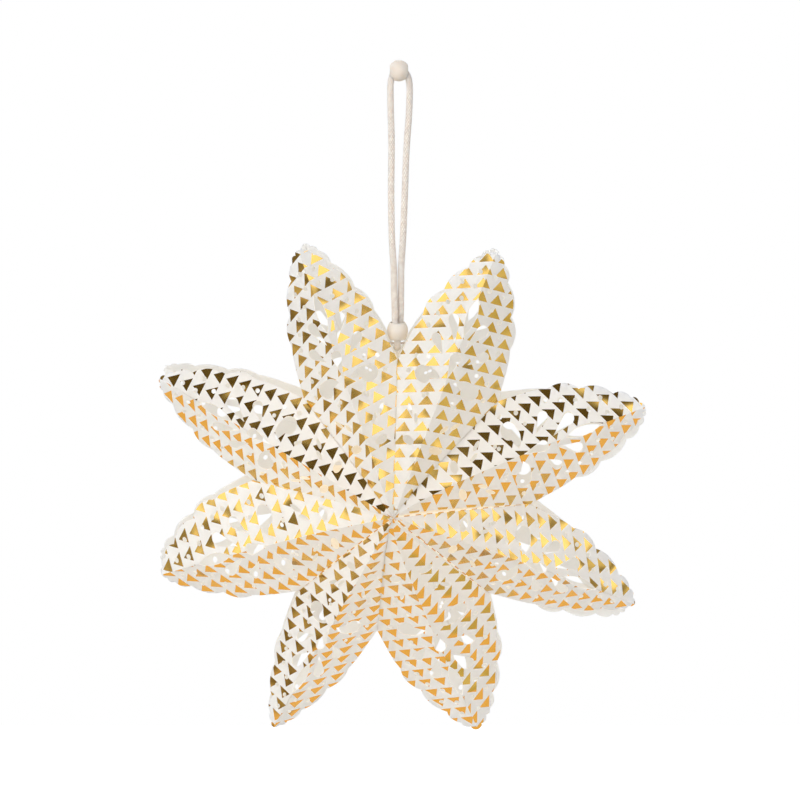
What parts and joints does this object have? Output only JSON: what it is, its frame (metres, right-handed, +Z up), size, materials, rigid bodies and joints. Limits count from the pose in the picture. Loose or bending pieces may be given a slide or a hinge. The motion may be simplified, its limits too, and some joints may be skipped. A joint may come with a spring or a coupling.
{
  "type": "hanging star ornament",
  "caption": "Folded card star with die-cut, foil-printed leaves, hung on a doubled cord loop with a slide bead and a top bead.",
  "frame": {"origin": "where a hook bears in the cord loop, under the top bead; the ornament hangs below it", "axes": "+Z up along the cord; the star's plane is XZ and its front faces -Y, with +X to the viewer's right"},
  "size_m": [0.2429, 0.118, 0.3399],
  "materials": {
    "printed_card": "matte",
    "seam_card": "matte",
    "cotton_cord": "matte",
    "pale_wood": "satin"
  },
  "bodies": {
    "hanger": {"cord_loop": "cotton_cord", "top_bead": "pale_wood"},
    "slider": {"slide_bead": "pale_wood"},
    "star": {"front_leaf_1": "printed_card", "front_leaf_2": "printed_card", "front_leaf_3": "printed_card", "front_leaf_4": "printed_card", "front_leaf_5": "printed_card", "front_leaf_6": "printed_card", "front_leaf_7": "printed_card", "front_leaf_8": "printed_card", "rear_leaf_1": "printed_card", "rear_leaf_2": "printed_card", "rear_leaf_3": "printed_card", "rear_leaf_4": "printed_card", "rear_leaf_5": "printed_card", "rear_leaf_6": "printed_card", "rear_leaf_7": "printed_card", "rear_leaf_8": "printed_card", "seam_rib_2": "seam_card", "seam_rib_3": "seam_card", "seam_rib_4": "seam_card", "seam_rib_5": "seam_card", "seam_rib_6": "seam_card", "seam_rib_7": "seam_card", "seam_rib_8": "seam_card", "end_rib_left": "seam_card", "end_rib_right": "seam_card", "tie_thread": "cotton_cord"}
  },
  "joints": [
    {"name": "bead_slide", "type": "slide", "parent": "hanger", "child": "slider", "axis": [0, 0, 1], "range_m": [0, 0.03]},
    {"name": "star_swing", "type": "hinge", "parent": "hanger", "child": "star", "pos_m": [-0.00075, 0, -0.1304], "axis": [1, 0, 0], "range_deg": [-25, 25]}
  ]
}
